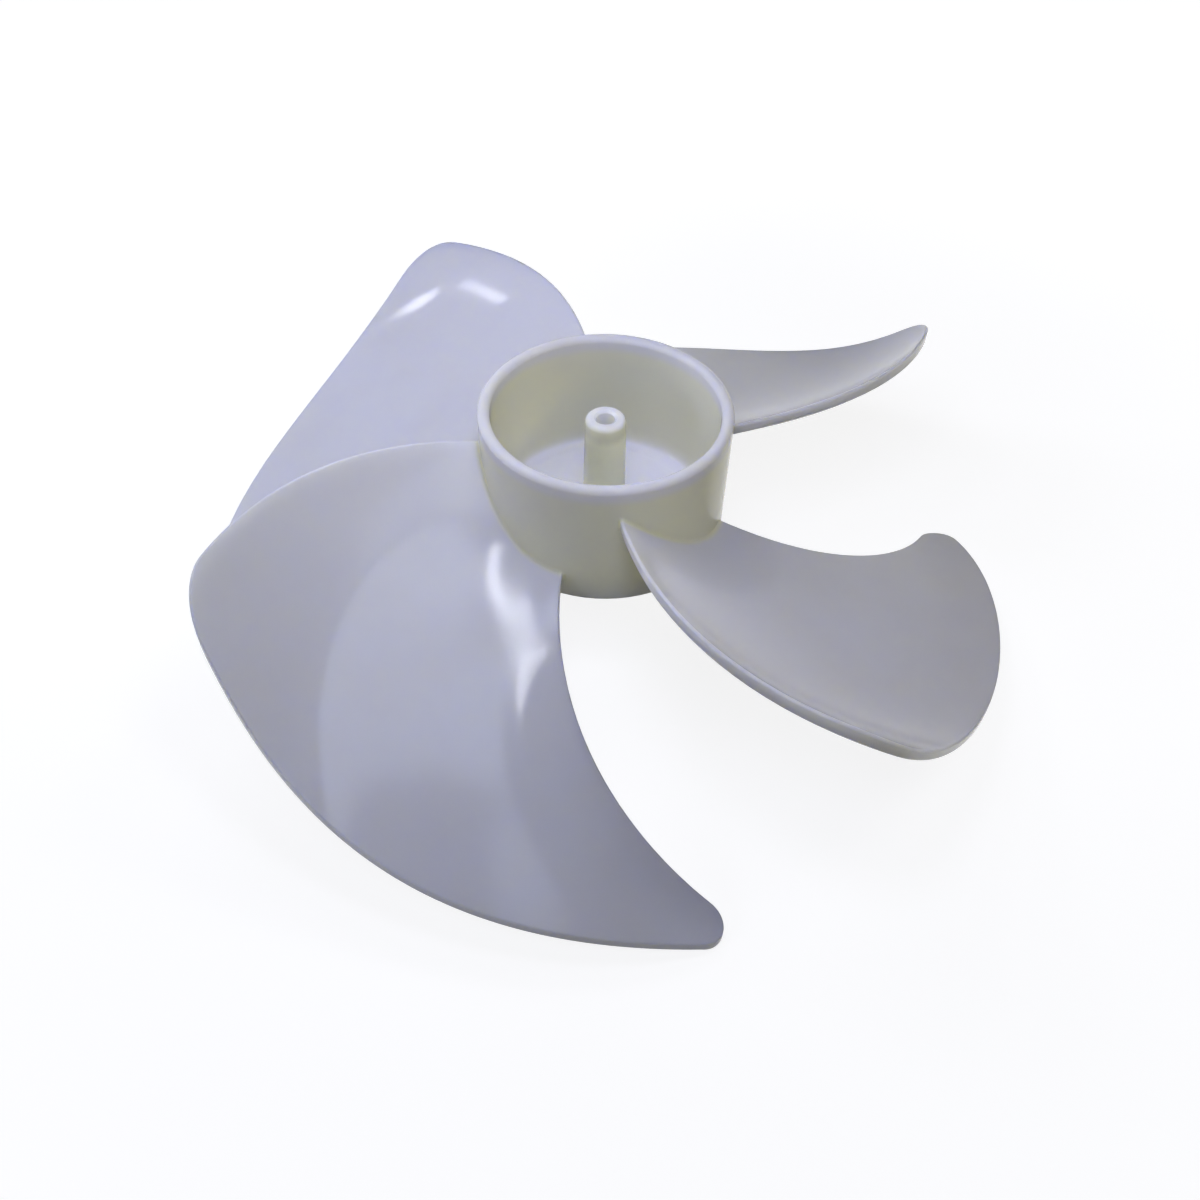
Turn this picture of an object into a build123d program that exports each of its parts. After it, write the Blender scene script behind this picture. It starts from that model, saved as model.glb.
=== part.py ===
from build123d import *
import math
import os

# One moulded fan wheel: a cup hub with its mouth up, a shaft boss standing in the cup, and
# twisted blades round the cup's outside wall. Z is the spin axis, and Z = 0 is the plane that
# the lowest blade tips stand on. Lengths are millimetres and angles are degrees.

# Cup hub
hub_mouth_radius = 21.7
hub_taper = 0.1
hub_height = 24.8
hub_wall = 2.1
hub_floor = 2.0
hub_base_edge_radius = 0.4
hub_inside_corner_radius = 3.0

# Shaft boss in the middle of the cup, with a blind bore that is pressed on a motor shaft
boss_top_radius = 3.5
boss_taper = 0.4
boss_below_mouth = 2.5
boss_edge_radius = 0.9
boss_foot_radius = 0.8
shaft_bore_diameter = 3.2
shaft_bore_floor = 4.8
shaft_bore_lead_in = 0.4

# Blades in plan: angles are counted from the root of the leading edge
blade_count = 4
first_blade_angle = 187.0
tip_radius = 75.0
leading_corner_inset = 0.8
trailing_corner_overhang = 1.0
leading_angle_middle = 8.8
leading_angle_tip = 25.2
trailing_angle_root = 65.2
trailing_angle_middle = 82.2
trailing_angle_tip = 103.7
leading_corner_rounding = 12.6
trailing_corner_rounding = 3.9

# Leading edge in height, below the hub's mouth
leading_drop_root = 5.8
leading_drop_middle = 3.3
leading_drop_tip = 5.6

# Trailing edge in height, above the hub's closed base at the root and below it further out
trailing_rise_root = 5.6
trailing_drop_middle = 8.3
trailing_drop_tip = 24.9

# How far the blade is hollowed below a straight chord, and how the hollow leans along the chord
hollow_depth_root = 2.7
hollow_depth_tip = 9.2
hollow_lean_root = -2.7
hollow_lean_tip = 22.9

# Blade section
blade_thickness_root = 1.6
blade_thickness_tip = 1.8
blade_edge_radius = 0.3
blade_root_fillet = 0.5

# How closely a blade's skin and edges are drawn, and how far a skin runs past the blade's outline
skin_rows = 13
skin_columns = 13
skin_overrun = 0.12
edge_points = 6
fit_tolerance = 0.02

# Sizes that follow from those above
hub_base_radius = hub_mouth_radius - hub_taper
lip_radius = hub_wall / 2
lip_height = hub_height - lip_radius
boss_height = hub_height - boss_below_mouth
leading_corner_radius = tip_radius - leading_corner_inset
trailing_corner_radius = tip_radius + trailing_corner_overhang
blade_root_radius = hub_base_radius - hub_wall / 2
cutting_reach = 2 * tip_radius
down = Vector(0, 0, -1)


def between(first, last, share):
    """Value at a share of the straight way from first to last."""
    return first + (last - first) * share


def even_steps(first, last, count):
    """Evenly spaced values from first to last."""
    return [between(first, last, number / (count - 1)) for number in range(count)]


def through_three(first, middle, last, share):
    """Value at a share of the way along a smooth curve through three evenly spaced values."""
    bend = 2 * (first - 2 * middle + last)
    return first + (last - first - bend) * share + bend * share ** 2


def span_share(radius):
    """Share of the way from the hub's wall to the tip."""
    return (radius - hub_mouth_radius) / (tip_radius - hub_mouth_radius)


def leading_angle(span):
    """Angle of the leading edge at a share of the span."""
    return through_three(0, leading_angle_middle, leading_angle_tip, span)


def trailing_angle(span):
    """Angle of the trailing edge at a share of the span."""
    return through_three(trailing_angle_root, trailing_angle_middle, trailing_angle_tip, span)


def middle_angle(span):
    """Angle halfway between the two edges at a share of the span."""
    return (leading_angle(span) + trailing_angle(span)) / 2


def leading_height(span):
    """Height of the leading edge above the hub's base at a share of the span."""
    return hub_height - through_three(leading_drop_root, leading_drop_middle, leading_drop_tip, span)


def trailing_height(span):
    """Height of the trailing edge above the hub's base at a share of the span."""
    return through_three(trailing_rise_root, -trailing_drop_middle, -trailing_drop_tip, span)


def plan_point(radius, angle):
    """Point of the plan at a radius, and at an angle from the root of the leading edge."""
    turn = math.radians(first_blade_angle + angle)
    return Vector(radius * math.cos(turn), radius * math.sin(turn), 0)


def plan_radius(point):
    """Distance of a point from the spin axis."""
    return math.hypot(point.X, point.Y)


def skin_point(span, chord):
    """Point of a blade's upper skin at shares of the span and of the chord."""
    radius = between(hub_mouth_radius, tip_radius, span)
    angle = between(leading_angle(span), trailing_angle(span), chord)
    depth = between(hollow_depth_root, hollow_depth_tip, span)
    lean = between(hollow_lean_root, hollow_lean_tip, span)
    hollow = 4 * chord * (1 - chord) * (depth - lean * (chord - 0.5))
    height = between(leading_height(span), trailing_height(span), chord) - hollow
    return plan_point(radius, angle) + Vector(0, 0, height)


def skin_normal(span, chord):
    """Upward unit normal of a blade's upper skin."""
    step = 0.001
    along_span = skin_point(span + step, chord) - skin_point(span - step, chord)
    along_chord = skin_point(span, chord + step) - skin_point(span, chord - step)
    return along_span.cross(along_chord).normalized()


def skin(depth):
    """Face at a share of the blade's thickness under its upper skin, wider than the blade."""
    first_span = span_share(blade_root_radius) - skin_overrun
    last_span = span_share(trailing_corner_radius) + skin_overrun
    rows = []
    for span in even_steps(first_span, last_span, skin_rows):
        offset = depth * between(blade_thickness_root, blade_thickness_tip, span)
        chords = even_steps(-skin_overrun, 1 + skin_overrun, skin_columns)
        rows.append([skin_point(span, chord) - skin_normal(span, chord) * offset for chord in chords])
    return Face.make_surface_from_array_of_points(rows)


def edge_curve(edge_angle, corner_radius):
    """Plan curve of a blade's leading or trailing edge, from the root to its tip corner."""
    radii = even_steps(blade_root_radius, corner_radius, edge_points)
    return Spline([plan_point(radius, edge_angle(span_share(radius))) for radius in radii])


def round_corner(prism, corner, radius):
    """Prism with its upright edge at a corner of the plan rounded."""
    upright = prism.edges().filter_by(Axis.Z).sort_by_distance(corner)[0]
    return fillet(upright, radius)


def make_blade_prism():
    """Upright prism of a blade's outline, with the two corners of the tip rounded."""
    leading = edge_curve(leading_angle, leading_corner_radius)
    trailing = edge_curve(trailing_angle, trailing_corner_radius)
    tip = ThreePointArc(leading @ 1, plan_point(tip_radius, middle_angle(1)), trailing @ 1)
    root_middle = plan_point(blade_root_radius, middle_angle(span_share(blade_root_radius)))
    root = ThreePointArc(leading @ 0, root_middle, trailing @ 0)
    outline = make_face([leading, tip, trailing, root])
    prism = extrude(outline, amount=cutting_reach, both=True)
    prism = round_corner(prism, leading @ 1, leading_corner_rounding)
    return round_corner(prism, trailing @ 1, trailing_corner_rounding)


def make_blade():
    """First blade, from the middle of the hub's wall to the tip, with its rim rounded."""
    below_upper_skin = extrude(skin(0), amount=cutting_reach, dir=down)
    below_lower_skin = extrude(skin(1), amount=cutting_reach, dir=down)
    blade = make_blade_prism() & (below_upper_skin - below_lower_skin)
    skins = blade.faces().sort_by(SortBy.AREA)[-2:]
    rim = [edge for face in skins for edge in face.edges() if plan_radius(edge @ 0.5) > hub_mouth_radius]
    thinnest = min(blade_thickness_root, blade_thickness_tip)
    return fillet(rim, min(blade_edge_radius, 0.4 * thinnest))


def make_hub_profile():
    """Half section of the cup and its boss, with the lip a full round."""
    lip_outside = (hub_mouth_radius, lip_height)
    lip_top = (hub_mouth_radius - lip_radius, hub_height)
    lip_inside = (hub_mouth_radius - hub_wall, lip_height)
    base_edge = (hub_base_radius, 0)
    inside_corner = (hub_base_radius - hub_wall, hub_floor)
    boss_foot = (boss_top_radius + boss_taper, hub_floor)
    boss_edge = (boss_top_radius, boss_height)
    outside = Polyline((0, 0), base_edge, lip_outside)
    lip = ThreePointArc(lip_outside, lip_top, lip_inside)
    inside = Polyline(lip_inside, inside_corner, boss_foot, boss_edge, (0, boss_height), (0, 0))
    profile = make_face(outside.edges() + lip.edges() + inside.edges())
    roundings = [
        (base_edge, hub_base_edge_radius),
        (inside_corner, hub_inside_corner_radius),
        (boss_foot, boss_foot_radius),
        (boss_edge, boss_edge_radius),
    ]
    for corner, radius in roundings:
        profile = fillet(profile.vertices().sort_by_distance(Vector(*corner))[0], radius)
    return profile


def make_hub():
    """Cup hub with its boss, bored from the top and with a lead-in at the bore's mouth."""
    hub = revolve(Plane.XZ * make_hub_profile(), Axis.Z)
    bore_radius = shaft_bore_diameter / 2
    upwards = (Align.CENTER, Align.CENTER, Align.MIN)
    downwards = (Align.CENTER, Align.CENTER, Align.MAX)
    bore = Cylinder(bore_radius, boss_height - shaft_bore_floor, align=upwards)
    lead_in = Cone(bore_radius, bore_radius + shaft_bore_lead_in, shaft_bore_lead_in, align=downwards)
    hub -= Pos(0, 0, shaft_bore_floor) * bore
    hub -= Pos(0, 0, boss_height) * lead_in
    return hub


def runs_round_root(edge):
    """Whether an edge runs along the hub's outside wall, between its base and its lip."""
    for share in (0, 0.5, 1):
        spot = edge @ share
        wall_radius = between(hub_base_radius, hub_mouth_radius, spot.Z / lip_height)
        if abs(plan_radius(spot) - wall_radius) > fit_tolerance:
            return False
        if not hub_base_edge_radius + fit_tolerance < spot.Z < lip_height - fit_tolerance:
            return False
    return True


def make_wheel():
    """Hub and blades as one solid, filleted at the roots and standing on the blade tips."""
    wheel = make_hub()
    blade = make_blade()
    for number in range(blade_count):
        wheel += Rot(0, 0, number * 360 / blade_count) * blade
    wheel = fillet([edge for edge in wheel.edges() if runs_round_root(edge)], blade_root_fillet)
    return Pos(0, 0, -wheel.bounding_box().min.Z) * wheel


os.makedirs("parts", exist_ok=True)
export_step(make_wheel(), "parts/fan_blade.step")
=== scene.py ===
"""Looks of a moulded refrigerator fan blade: its plastic, the studio round it and the camera."""

import logging
import math
from dataclasses import dataclass, field
from enum import Enum

import bpy
from mathutils import Matrix, Vector

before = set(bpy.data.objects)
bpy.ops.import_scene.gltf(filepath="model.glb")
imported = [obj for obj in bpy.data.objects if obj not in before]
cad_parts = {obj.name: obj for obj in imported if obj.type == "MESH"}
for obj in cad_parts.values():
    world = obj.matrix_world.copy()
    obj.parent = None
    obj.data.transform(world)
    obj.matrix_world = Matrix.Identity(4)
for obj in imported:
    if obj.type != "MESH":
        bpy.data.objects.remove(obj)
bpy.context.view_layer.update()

Point = tuple[float, float, float]
Span = tuple[float, float]
Tree = bpy.types.NodeTree
Socket = bpy.types.NodeSocket

MM = 0.001
PHOTO_SIDE = 1200
SENSOR_WIDTH = 36.0

# A place times this keeps its plan and loses its height.
PLAN_ONLY: Point = (1.0, 1.0, 0.0)

# Shares at the start and at the end of a stretch
RISING: Span = (0.0, 1.0)
FALLING: Span = (1.0, 0.0)

WHITE = "#FFFFFF"
SKY_LIGHT = "#DCE3FF"
WINDOW_LIGHT = "#F2F4FF"

log = logging.getLogger("fan_blade")


class LampShape(Enum):
    """Outline of a soft lamp."""

    RECTANGLE = "RECTANGLE"
    DISC = "DISK"


class LampUse(Enum):
    """What a lamp is for."""

    LIGHT = "light without a reflection"
    REFLECTION = "reflection without light"


class Region(Enum):
    """Part of the wheel that a colour keeps to."""

    IN_CUP = "inside the cup's wall"
    WALL_OUTWARDS = "from the cup's wall outwards"
    ABOVE_CUP_FLOOR = "above the cup's floor"
    ON_HUB = "not past the hub's outside"
    BELOW_LIP = "below the lip"
    ON_BOSS = "not past the boss's outside"
    BELOW_BOSS_TOP = "below the boss's top"
    IN_BORE = "inside the bore's wall"


def linear_colour(code: str) -> tuple[float, float, float, float]:
    """Turns an sRGB hex colour into the linear values that shaders take.

    Args:
        code: Colour as six hex digits after a hash sign.

    Returns:
        Linear red, green, blue and a full alpha.
    """
    shares = [int(code[start:start + 2], 16) / 255 for start in (1, 3, 5)]
    steps = [share / 12.92 if share <= 0.04045 else ((share + 0.055) / 1.055) ** 2.4 for share in shares]
    return (*steps, 1.0)


def add_node(
    tree: Tree,
    kind: str,
    settings: dict[str, object] | None = None,
    inputs: dict[str | int, object] | None = None,
) -> bpy.types.Node:
    """Adds a node with its settings, and sets or links its inputs.

    Args:
        tree: Node tree that the node goes in.
        kind: Blender's type name of the node.
        settings: Properties of the node, by name.
        inputs: Values for its input sockets by name or number. A socket as the value is linked.

    Returns:
        The new node.
    """
    node = tree.nodes.new(kind)
    for name, value in (settings or {}).items():
        setattr(node, name, value)
    for key, value in (inputs or {}).items():
        if isinstance(value, Socket):
            tree.links.new(value, node.inputs[key])
        else:
            node.inputs[key].default_value = value
    return node


def seen_directly(tree: Tree) -> Socket:
    """Tells rays that show a surface from rays that light others.

    Args:
        tree: Node tree of the floor's paint or of the surround.

    Returns:
        Socket that is 1 for camera, glossy and transmission rays, and 0 for the rest.
    """
    rays = add_node(tree, "ShaderNodeLightPath").outputs
    seen = rays["Is Camera Ray"]
    for kind in ("Is Glossy Ray", "Is Transmission Ray"):
        either = add_node(tree, "ShaderNodeMath", {"operation": "MAXIMUM"}, {0: seen, 1: rays[kind]})
        seen = either.outputs["Value"]
    return seen


def waves_per_metre(size_mm: float) -> float:
    """Noise scale, in features per metre, for features of a real size in millimetres."""
    return 1 / (size_mm * MM)


@dataclass(frozen=True)
class MouldedPolypropylene:
    """Natural, undyed polypropylene, injection moulded in a polished tool."""

    # The blades, lip and cup floor are a cool milky white and the hub's upright walls ivory. This split is
    # painted
    # light: cool light from above on faces that look up, warm light from the sides on the walls. The cup
    # floor, the boss's side and the bore are painted lighter still, as painted light. Light that gets in
    # comes out again a little way off, blue less far than red, which softens shadows. The surface has the
    # even half gloss of the tool, with faint flow marks and a fine grain.
    name: str = "moulded_polypropylene"
    blade_colour: str = "#D2D1D6"
    # Painted light: the cup floor, which looks up, is painted lighter than the blades.
    cup_floor_painted_light: str = "#EDECF4"
    # Painted light: the hub's upright walls are painted ivory for warm light from the sides.
    hub_painted_side_light: str = "#D8D7C5"
    # Painted light: the boss's side is painted much lighter than the hub.
    boss_painted_light: str = "#FAF8D9"
    # Painted light: the bore is painted pale, which takes out its shade.
    bore_painted_light: str = "#F2F1EE"
    flow_mark_colour: str = "#CAC7C8"

    # Stretches over which one colour gives way to another, from the spin axis outwards
    wall_outside_mm: Span = (21.75, 22.8)
    wall_inside_mm: Span = (18.0, 19.6)
    boss_mm: Span = (4.2, 5.5)
    bore_mm: Span = (1.7, 2.3)

    # The same, from the plane that the blade tips stand on upwards
    cup_floor_mm: Span = (25.8, 29.7)
    lip_mm: Span = (44.9, 46.9)
    boss_top_mm: Span = (42.0, 44.0)

    flow_mark_mm: float = 22.0
    flow_mark_detail: float = 3.0
    flow_mark_range: Span = (0.4, 0.75)
    flow_mark_strength: float = 0.35
    wave_mm: float = 11.0
    wave_depth_mm: float = 0.03

    # A polished tool's grain is finer than this. It is drawn coarser so that it shows.
    grain_mm: float = 0.45
    grain_depth_mm: float = 0.004
    relief_detail: float = 1.0
    roughness: Span = (0.08, 0.13)
    roughness_range: Span = (0.3, 0.7)
    index_of_refraction: float = 1.49
    gloss_level: float = 0.2
    scatter_weight: float = 1.0
    scatter_depth_mm: float = 5.0
    scatter_shares: Point = (1.0, 0.94, 0.55)

    def build(self) -> bpy.types.Material:
        """Makes the material.

        Returns:
            The finished material, patterned on Object coordinates.
        """
        material = bpy.data.materials.new(self.name)
        material.use_nodes = True
        tree = material.node_tree
        tree.nodes.clear()
        place = add_node(tree, "ShaderNodeTexCoord").outputs["Object"]
        flow = add_node(
            tree,
            "ShaderNodeTexNoise",
            inputs={
                "Vector": place,
                "Scale": waves_per_metre(self.flow_mark_mm),
                "Detail": self.flow_mark_detail,
            },
        ).outputs["Fac"]
        gloss = add_node(
            tree,
            "ShaderNodeMapRange",
            inputs={
                "Value": flow,
                "From Min": self.roughness_range[0],
                "From Max": self.roughness_range[1],
                "To Min": self.roughness[0],
                "To Max": self.roughness[1],
            },
        )
        shader = add_node(
            tree,
            "ShaderNodeBsdfPrincipled",
            inputs={
                "Base Color": self.colour(tree, place, flow),
                "Roughness": gloss.outputs["Result"],
                "Normal": self.relief(tree, place),
                "IOR": self.index_of_refraction,
                "Specular IOR Level": self.gloss_level,
                "Subsurface Weight": self.scatter_weight,
                "Subsurface Radius": self.scatter_shares,
                "Subsurface Scale": self.scatter_depth_mm * MM,
            },
        )
        add_node(tree, "ShaderNodeOutputMaterial", inputs={"Surface": shader.outputs["BSDF"]})
        return material

    def colour(self, tree: Tree, place: Socket, flow: Socket) -> Socket:
        """Lays painted light on the cup floor, painted warm side light on the hub, painted light on the boss
        and in the bore, and the flow marks over the blades' colour, in that order.

        Args:
            tree: Node tree of the material.
            place: Socket of the Object coordinates.
            flow: Socket of the flow marks' noise.

        Returns:
            Socket with the colour.
        """
        regions = self.regions(tree, place)
        # Painted light: the boss's side below its top is painted lighter than the hub.
        boss = add_node(
            tree,
            "ShaderNodeMath",
            {"operation": "MULTIPLY"},
            {0: regions[Region.ON_BOSS], 1: regions[Region.BELOW_BOSS_TOP]},
        )
        marks = add_node(
            tree,
            "ShaderNodeMapRange",
            {"interpolation_type": "SMOOTHSTEP"},
            {
                "Value": flow,
                "From Min": self.flow_mark_range[0],
                "From Max": self.flow_mark_range[1],
                "To Max": self.flow_mark_strength,
            },
        )
        # Painted light, then the flow marks: cup floor lighter, hub walls ivory, boss side and bore lighter.
        layers = [
            (regions[Region.IN_CUP], self.cup_floor_painted_light),
            (self.painted_side_light_share(tree, regions), self.hub_painted_side_light),
            (boss.outputs["Value"], self.boss_painted_light),
            (regions[Region.IN_BORE], self.bore_painted_light),
            (marks.outputs["Result"], self.flow_mark_colour),
        ]
        colour: object = linear_colour(self.blade_colour)
        for share, code in layers:
            layer = add_node(
                tree,
                "ShaderNodeMix",
                {"data_type": "RGBA"},
                {"Factor": share, "A": colour, "B": linear_colour(code)},
            )
            colour = layer.outputs["Result"]
        return colour

    def regions(self, tree: Tree, place: Socket) -> dict[Region, Socket]:
        """Tells regions of the wheel apart, by distance from the spin axis and by height.

        Args:
            tree: Node tree of the material.
            place: Socket of the Object coordinates.

        Returns:
            Sockets that are 1 in a region and fall smoothly to 0 outside it.
        """
        flat = add_node(tree, "ShaderNodeVectorMath", {"operation": "MULTIPLY"}, {0: place, 1: PLAN_ONLY})
        radius = add_node(tree, "ShaderNodeVectorMath", {"operation": "LENGTH"}, {0: flat.outputs["Vector"]})
        outwards = radius.outputs["Value"]
        upwards = add_node(tree, "ShaderNodeSeparateXYZ", inputs={0: place}).outputs["Z"]
        stretches = {
            Region.IN_CUP: (outwards, self.wall_inside_mm, FALLING),
            Region.WALL_OUTWARDS: (outwards, self.wall_inside_mm, RISING),
            Region.ABOVE_CUP_FLOOR: (upwards, self.cup_floor_mm, RISING),
            Region.ON_HUB: (outwards, self.wall_outside_mm, FALLING),
            Region.BELOW_LIP: (upwards, self.lip_mm, FALLING),
            Region.ON_BOSS: (outwards, self.boss_mm, FALLING),
            Region.BELOW_BOSS_TOP: (upwards, self.boss_top_mm, FALLING),
            Region.IN_BORE: (outwards, self.bore_mm, FALLING),
        }
        regions = {}
        for region, (length, stretch_mm, shares) in stretches.items():
            ramp = add_node(
                tree,
                "ShaderNodeMapRange",
                {"interpolation_type": "SMOOTHSTEP"},
                {
                    "Value": length,
                    "From Min": stretch_mm[0] * MM,
                    "From Max": stretch_mm[1] * MM,
                    "To Min": shares[0],
                    "To Max": shares[1],
                },
            )
            regions[region] = ramp.outputs["Result"]
        return regions

    def painted_side_light_share(self, tree: Tree, regions: dict[Region, Socket]) -> Socket:
        """Share of the hub's painted warm side light: all of it on the cup's upright wall and boss, none on
        blades, lip and cup floor, which look up.

        Args:
            tree: Node tree of the material.
            regions: Sockets of the wheel's regions.

        Returns:
            Socket with the share.
        """
        # Upright walls take the painted warm side light; the cup floor and the lip, which look up, don't.
        off_floor = add_node(
            tree,
            "ShaderNodeMath",
            {"operation": "MAXIMUM"},
            {0: regions[Region.WALL_OUTWARDS], 1: regions[Region.ABOVE_CUP_FLOOR]},
        )
        hub = add_node(
            tree,
            "ShaderNodeMath",
            {"operation": "MULTIPLY"},
            {0: regions[Region.ON_HUB], 1: regions[Region.BELOW_LIP]},
        )
        share = add_node(
            tree,
            "ShaderNodeMath",
            {"operation": "MULTIPLY"},
            {0: hub.outputs["Value"], 1: off_floor.outputs["Value"]},
        )
        return share.outputs["Value"]

    def relief(self, tree: Tree, place: Socket) -> Socket:
        """Adds the shrinkage waves, and the tool's grain over them, as relief.

        Args:
            tree: Node tree of the material.
            place: Socket of the Object coordinates.

        Returns:
            Socket with the surface's normal.
        """
        below: dict[str, Socket] = {}
        for size_mm, depth_mm in ((self.wave_mm, self.wave_depth_mm), (self.grain_mm, self.grain_depth_mm)):
            height = add_node(
                tree,
                "ShaderNodeTexNoise",
                inputs={"Vector": place, "Scale": waves_per_metre(size_mm), "Detail": self.relief_detail},
            )
            bump = add_node(
                tree,
                "ShaderNodeBump",
                inputs={"Height": height.outputs["Fac"], "Distance": depth_mm * MM, **below},
            )
            below = {"Normal": bump.outputs["Normal"]}
        return below["Normal"]


@dataclass
class FanWheel:
    """The moulded wheel: cup hub, shaft boss and twisted blades in one piece."""

    node_name: str = "fan_blade"
    plastic: MouldedPolypropylene = field(default_factory=MouldedPolypropylene)

    def dress(self) -> None:
        """Gives the moulded piece its plastic."""
        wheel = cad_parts[self.node_name]
        material = self.plastic.build()
        for slot in wheel.material_slots:
            slot.material = material
        log.info("%s: %d faces, dressed in %s", wheel.name, len(wheel.data.polygons), material.name)


@dataclass(frozen=True)
class FloorPaint:
    """Matt off-white paint on the studio's floor, which looks plain white to the camera."""

    # The camera and reflections see a white glow with a share of lit grey over it, so that the wheel's
    # soft shadow shows. All other rays meet the paint itself.
    name: str = "floor_paint"
    paint_colour: str = "#A9A59A"
    seen_colour: str = WHITE
    near_glow: float = 0.86
    far_glow: float = 0.98
    glow_change_mm: Span = (80.0, 260.0)
    shadow_share: float = 0.3
    roughness: float = 0.9

    def build(self) -> bpy.types.Material:
        """Makes the paint.

        Returns:
            Paint that the camera and reflections see as white with a soft shadow.
        """
        material = bpy.data.materials.new(self.name)
        material.use_nodes = True
        tree = material.node_tree
        tree.nodes.clear()
        paint = add_node(
            tree,
            "ShaderNodeBsdfDiffuse",
            inputs={"Color": linear_colour(self.paint_colour), "Roughness": self.roughness},
        )
        place = add_node(tree, "ShaderNodeTexCoord").outputs["Object"]
        distance = add_node(tree, "ShaderNodeVectorMath", {"operation": "LENGTH"}, {0: place})
        strength = add_node(
            tree,
            "ShaderNodeMapRange",
            {"interpolation_type": "SMOOTHSTEP"},
            {
                "Value": distance.outputs["Value"],
                "From Min": self.glow_change_mm[0] * MM,
                "From Max": self.glow_change_mm[1] * MM,
                "To Min": self.near_glow,
                "To Max": self.far_glow,
            },
        )
        glow = add_node(
            tree,
            "ShaderNodeEmission",
            inputs={"Color": linear_colour(self.seen_colour), "Strength": strength.outputs["Result"]},
        )
        grey = (self.shadow_share, self.shadow_share, self.shadow_share, 1.0)
        shade = add_node(tree, "ShaderNodeBsdfDiffuse", inputs={"Color": grey, "Roughness": self.roughness})
        white = add_node(tree, "ShaderNodeAddShader", inputs={0: glow.outputs[0], 1: shade.outputs[0]})
        both = add_node(
            tree,
            "ShaderNodeMixShader",
            inputs={"Fac": seen_directly(tree), 1: paint.outputs[0], 2: white.outputs[0]},
        )
        add_node(tree, "ShaderNodeOutputMaterial", inputs={"Surface": both.outputs[0]})
        return material


@dataclass(frozen=True)
class SoftLamp:
    """One soft lamp, aimed at a point, with its power in watts and its turn in degrees."""

    name: str
    place_mm: Point
    aim_mm: Point
    size_mm: Span
    power: float
    colour: str
    use: LampUse
    turn: float = 0.0
    shape: LampShape = LampShape.RECTANGLE

    def build(self) -> bpy.types.Object:
        """Makes the lamp and hangs it in its place.

        Returns:
            The lamp's object.
        """
        bulb = bpy.data.lights.new(self.name, "AREA")
        bulb.shape = self.shape.value
        bulb.size = self.size_mm[0] * MM
        bulb.size_y = self.size_mm[1] * MM
        bulb.energy = self.power
        bulb.color = linear_colour(self.colour)[:3]
        lamp = bpy.data.objects.new(self.name, bulb)
        bpy.context.scene.collection.objects.link(lamp)
        lamp.location = Vector(self.place_mm) * MM
        direction = (Vector(self.aim_mm) - Vector(self.place_mm)).normalized()
        turned = Matrix.Rotation(math.radians(self.turn), 3, "Z")
        aimed = direction.to_track_quat("-Z", "Y").to_matrix() @ turned
        lamp.rotation_euler = aimed.to_euler()
        lamp.visible_diffuse = self.use is LampUse.LIGHT
        lamp.visible_glossy = self.use is LampUse.REFLECTION
        return lamp


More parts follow.
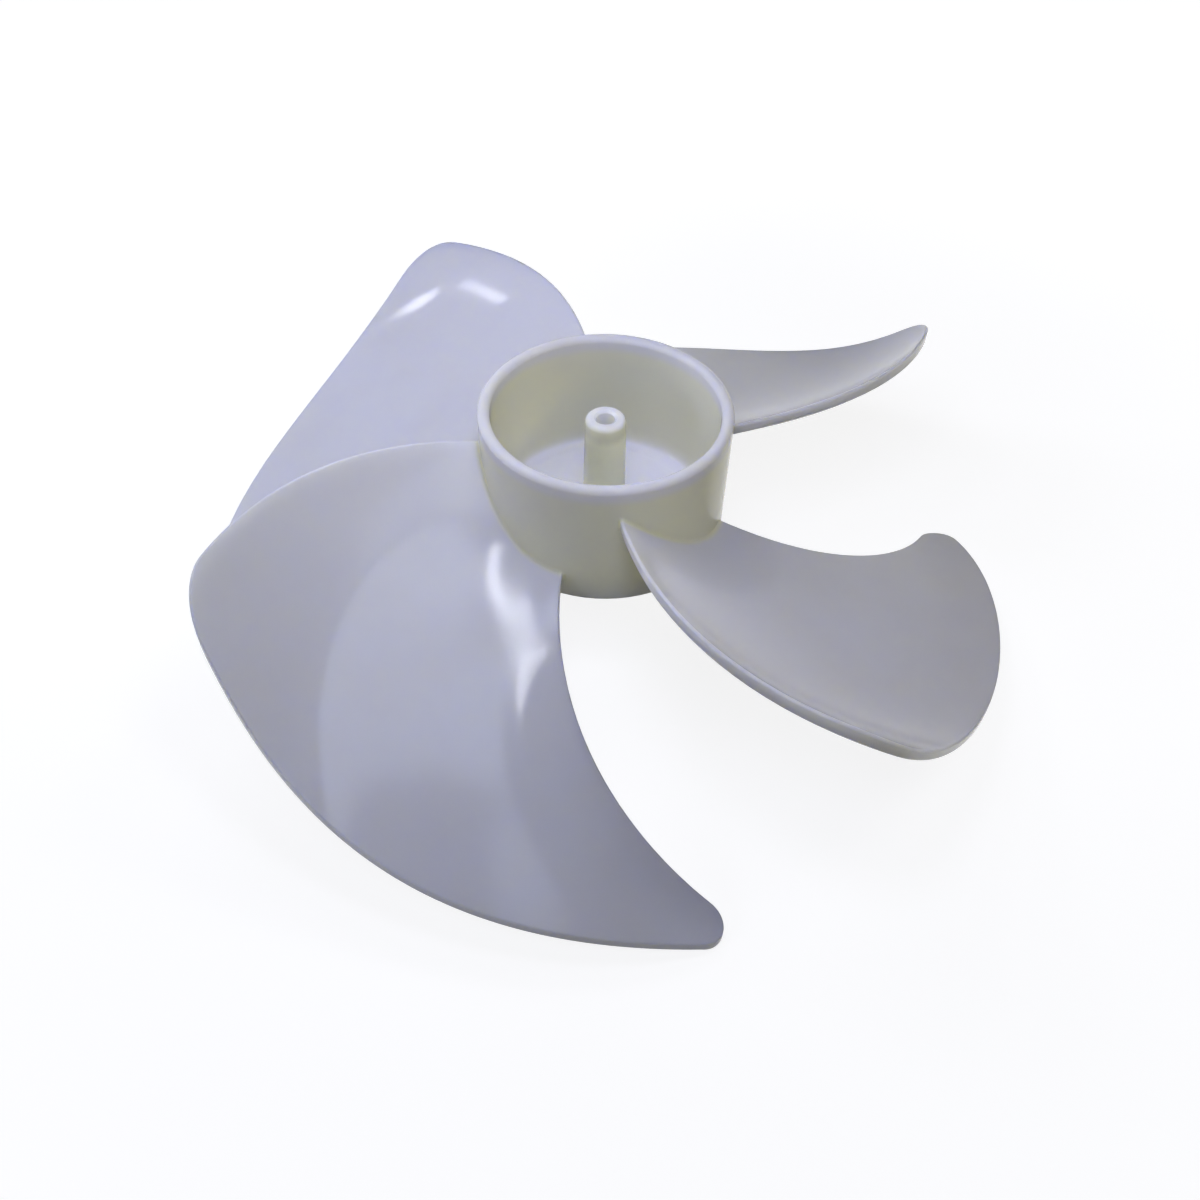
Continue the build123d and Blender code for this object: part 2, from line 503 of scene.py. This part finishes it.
@dataclass
class Studio:
    """Pale floor, soft lamps and an even surround."""

    floor_side: float = 6.0
    floor_cells: int = 8
    surround_colour: str = "#E9EAF2"
    surround_strength: float = 0.01
    seen_colour: str = WHITE
    seen_strength: float = 1.0
    paint: FloorPaint = field(default_factory=FloorPaint)
    lamps: tuple[SoftLamp, ...] = (
        # Lamps that light the wheel and aren't mirrored in it
        SoftLamp(
            name="front_high",
            place_mm=(0.0, -180.0, 260.0),
            aim_mm=(0.0, 0.0, 25.0),
            size_mm=(80.0, 80.0),
            power=0.123,
            colour=SKY_LIGHT,
            use=LampUse.LIGHT,
        ),
        SoftLamp(
            name="over_left_blade",
            place_mm=(-60.0, 20.0, 140.0),
            aim_mm=(-45.0, 40.0, 25.0),
            size_mm=(50.0, 50.0),
            power=0.046,
            colour="#ECEFFF",
            use=LampUse.LIGHT,
        ),
        SoftLamp(
            name="front_left",
            place_mm=(-280.0, -250.0, 150.0),
            aim_mm=(-20.0, 10.0, 25.0),
            size_mm=(120.0, 120.0),
            power=0.235,
            colour=SKY_LIGHT,
            use=LampUse.LIGHT,
        ),
        SoftLamp(
            name="left_low",
            place_mm=(-170.0, 60.0, 95.0),
            aim_mm=(-55.0, 35.0, 20.0),
            size_mm=(60.0, 60.0),
            power=0.098,
            colour=SKY_LIGHT,
            use=LampUse.LIGHT,
        ),
        SoftLamp(
            name="over_right_blade",
            place_mm=(120.0, -20.0, 120.0),
            aim_mm=(60.0, -25.0, 15.0),
            size_mm=(50.0, 50.0),
            power=0.034,
            colour="#F2F0EC",
            use=LampUse.LIGHT,
        ),
        SoftLamp(
            name="over_cup",
            place_mm=(0.0, 0.0, 130.0),
            aim_mm=(0.0, 0.0, 20.0),
            size_mm=(20.0, 20.0),
            power=0.013,
            colour="#F3F4FF",
            use=LampUse.LIGHT,
        ),
        SoftLamp(
            name="over_front",
            place_mm=(0.0, -60.0, 150.0),
            aim_mm=(0.0, 0.0, 38.0),
            size_mm=(30.0, 30.0),
            power=0.042,
            colour="#E8ECFF",
            use=LampUse.LIGHT,
        ),
        # Lamps that are mirrored in the half gloss and give no other light
        SoftLamp(
            name="ceiling_sheen",
            place_mm=(-17.0, -57.0, 230.0),
            aim_mm=(-17.0, -57.0, 20.0),
            size_mm=(85.0, 45.0),
            power=0.075,
            colour=SKY_LIGHT,
            use=LampUse.REFLECTION,
        ),
        SoftLamp(
            name="root_sheen",
            place_mm=(30.0, -112.0, 230.0),
            aim_mm=(30.0, -112.0, 20.0),
            size_mm=(60.0, 60.0),
            power=0.035,
            colour=SKY_LIGHT,
            use=LampUse.REFLECTION,
            shape=LampShape.DISC,
        ),
        SoftLamp(
            name="edge_glint",
            place_mm=(28.0, -35.0, 230.0),
            aim_mm=(28.0, -35.0, 20.0),
            size_mm=(43.0, 4.0),
            power=0.036,
            colour=WINDOW_LIGHT,
            use=LampUse.REFLECTION,
            turn=-40.0,
        ),
        SoftLamp(
            name="left_window",
            place_mm=(-291.0, -8.0, 267.0),
            aim_mm=(-40.0, 54.0, 32.0),
            size_mm=(34.0, 34.0),
            power=0.1,
            colour=WINDOW_LIGHT,
            use=LampUse.REFLECTION,
            shape=LampShape.DISC,
        ),
        SoftLamp(
            name="left_tube",
            place_mm=(-319.0, 62.0, 222.0),
            aim_mm=(-26.0, 50.7, 37.6),
            size_mm=(105.0, 8.0),
            power=0.085,
            colour=WINDOW_LIGHT,
            use=LampUse.REFLECTION,
            turn=13.7,
        ),
    )

    def build_floor(self) -> bpy.types.Object:
        """Makes the floor under the wheel.

        Returns:
            The floor's object.
        """
        bpy.ops.object.select_all(action="DESELECT")
        bpy.ops.mesh.primitive_grid_add(
            x_subdivisions=self.floor_cells,
            y_subdivisions=self.floor_cells,
            size=self.floor_side,
        )
        floor = bpy.context.active_object
        floor.name = "studio_floor"
        floor.data.materials.append(self.paint.build())
        return floor

    def build_surround(self) -> None:
        """Lights the scene evenly from all round, and shows the camera a white surround."""
        world = bpy.data.worlds.new("surround")
        bpy.context.scene.world = world
        world.use_nodes = True
        tree = world.node_tree
        tree.nodes.clear()
        soft = add_node(
            tree,
            "ShaderNodeBackground",
            inputs={"Color": linear_colour(self.surround_colour), "Strength": self.surround_strength},
        )
        white = add_node(
            tree,
            "ShaderNodeBackground",
            inputs={"Color": linear_colour(self.seen_colour), "Strength": self.seen_strength},
        )
        both = add_node(
            tree,
            "ShaderNodeMixShader",
            inputs={"Fac": seen_directly(tree), 1: soft.outputs[0], 2: white.outputs[0]},
        )
        add_node(tree, "ShaderNodeOutputWorld", inputs={"Surface": both.outputs[0]})

    def build(self) -> None:
        """Builds the floor, the surround and the lamps."""
        floor = self.build_floor()
        log.info("floor %s", floor.name)
        self.build_surround()
        for lamp in self.lamps:
            lamp.build()
            log.info("lamp %s, %s", lamp.name, lamp.use.value)


@dataclass
class PhotoCamera:
    """Camera at the photograph's viewing angle, solved from the outlines of the four blades."""

    target_mm: Point = (-0.18, 0.0, 0.38)
    distance_mm: float = 224.17
    elevation: float = 47.18
    roll: float = 1.47
    focal_pixels: float = 1123.6
    nearest: float = 0.01
    farthest: float = 100.0

    def build(self) -> bpy.types.Object:
        """Makes the camera and gives it to the scene.

        Returns:
            The camera's object.
        """
        data = bpy.data.cameras.new("photo_camera")
        data.sensor_width = SENSOR_WIDTH
        data.lens = self.focal_pixels / PHOTO_SIDE * SENSOR_WIDTH
        data.clip_start = self.nearest
        data.clip_end = self.farthest
        camera = bpy.data.objects.new("photo_camera", data)
        bpy.context.scene.collection.objects.link(camera)
        rise = math.radians(self.elevation)
        forward = Vector((0.0, math.cos(rise), -math.sin(rise)))
        level = forward.to_track_quat("-Z", "Y").to_matrix().to_4x4()
        place = Vector(self.target_mm) * MM - forward * self.distance_mm * MM
        rolled = Matrix.Rotation(math.radians(self.roll), 4, "Z")
        camera.matrix_world = Matrix.Translation(place) @ level @ rolled
        bpy.context.scene.camera = camera
        return camera


def main() -> None:
    """Dresses the wheel, then builds the studio and the camera."""
    logging.basicConfig(level=logging.INFO, format="%(message)s")
    bpy.context.scene.view_settings.view_transform = "Standard"
    FanWheel().dress()
    Studio().build()
    camera = PhotoCamera().build()
    log.info("camera %s", camera.name)


if __name__ == "__main__":
    main()
